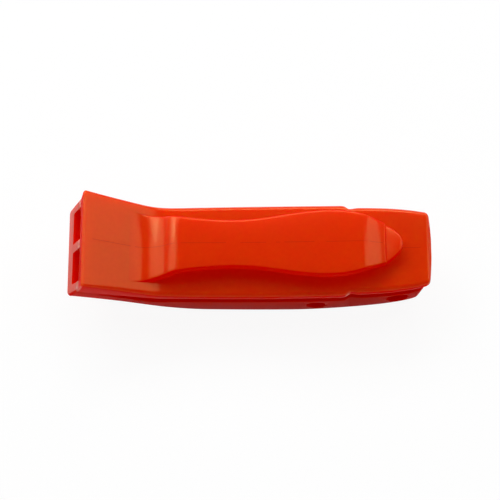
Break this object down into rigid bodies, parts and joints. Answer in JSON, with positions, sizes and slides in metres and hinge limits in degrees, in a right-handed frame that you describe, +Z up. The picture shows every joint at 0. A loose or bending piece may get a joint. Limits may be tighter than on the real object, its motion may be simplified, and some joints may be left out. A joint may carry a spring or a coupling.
{
  "type": "safety whistle",
  "caption": "Flat sports whistle with an upturned mouthpiece, tone chambers with sound windows on the underside, a moulded belt clip and a lanyard hole across the tail.",
  "frame": {"origin": "centre of the plan view, at the level of the flat belly on which the whistle lies", "axes": "+X from the mouth to the tail, +Y across along the lanyard hole, +Z up towards the clip"},
  "size_m": [0.068, 0.0194, 0.0167],
  "materials": {
    "shell_plastic": "moulded, satin gloss",
    "block_plastic": "moulded, satin gloss"
  },
  "bodies": {
    "whistle": {"upper_shell": "shell_plastic", "lower_shell": "shell_plastic", "left_windway_block": "block_plastic", "right_windway_block": "block_plastic"},
    "clip": {"spring_clip": "shell_plastic"}
  },
  "joints": [
    {"name": "clip_flex", "type": "hinge", "parent": "whistle", "child": "clip", "pos_m": [-0.01657, 0, 0.01268], "axis": [0, -1, 0], "range_deg": [0, 5], "stiffness_Nm_per_rad": 0.64}
  ]
}
